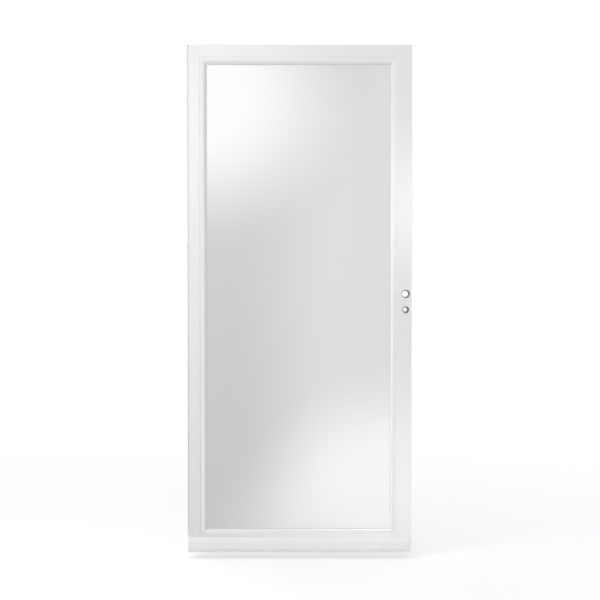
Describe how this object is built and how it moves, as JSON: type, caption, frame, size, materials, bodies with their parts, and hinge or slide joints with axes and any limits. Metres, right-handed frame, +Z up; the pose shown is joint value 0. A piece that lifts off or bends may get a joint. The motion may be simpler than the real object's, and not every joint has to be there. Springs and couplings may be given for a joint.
{
  "type": "storm door",
  "caption": "Full-view aluminium storm door leaf with a glass insert and a bottom expander, hung on its jamb rail by a full-length hinge.",
  "frame": {"origin": "middle of the hinge rail's jamb face, at the middle of the leaf's thickness and half way up the rail", "axes": "+X from the jamb to the lock edge, +Y from outdoors to indoors, +Z up"},
  "size_m": [0.899, 0.0532, 2.032],
  "materials": {
    "white_aluminium": "satin",
    "clear_glass": "gloss",
    "seal_rubber": "matte",
    "sweep_vinyl": "matte",
    "white_plastic": "matte",
    "pin_steel": "satin"
  },
  "bodies": {
    "jamb_rail": {"hinge_rail": "white_aluminium", "hinge_pin": "pin_steel", "jamb_weatherstrip": "seal_rubber"},
    "leaf": {"hinge_strip": "white_aluminium", "hinge_stile": "white_aluminium", "lock_stile": "white_aluminium", "top_rail": "white_aluminium", "bottom_rail": "white_aluminium", "hinge_stile_cap": "white_plastic", "lock_stile_cap": "white_plastic", "glass_pane": "clear_glass", "insert_hinge_side": "white_aluminium", "insert_lock_side": "white_aluminium", "insert_bottom": "white_aluminium", "insert_top": "white_aluminium", "gasket_hinge_side": "seal_rubber", "gasket_lock_side": "seal_rubber", "gasket_bottom": "seal_rubber", "gasket_top": "seal_rubber", "retainer_hinge_side": "white_aluminium", "retainer_lock_side": "white_aluminium", "retainer_bottom": "white_aluminium", "retainer_top": "white_aluminium"},
    "expander": {"bottom_expander": "white_aluminium", "bottom_sweep": "sweep_vinyl"}
  },
  "joints": [
    {"name": "leaf_swing", "type": "hinge", "parent": "jamb_rail", "child": "leaf", "pos_m": [0.0022, -0.019, 0], "axis": [0, 0, -1], "range_deg": [0, 110]},
    {"name": "expander_slide", "type": "slide", "parent": "leaf", "child": "expander", "axis": [0, 0, -1], "range_m": [0, 0.025]}
  ]
}
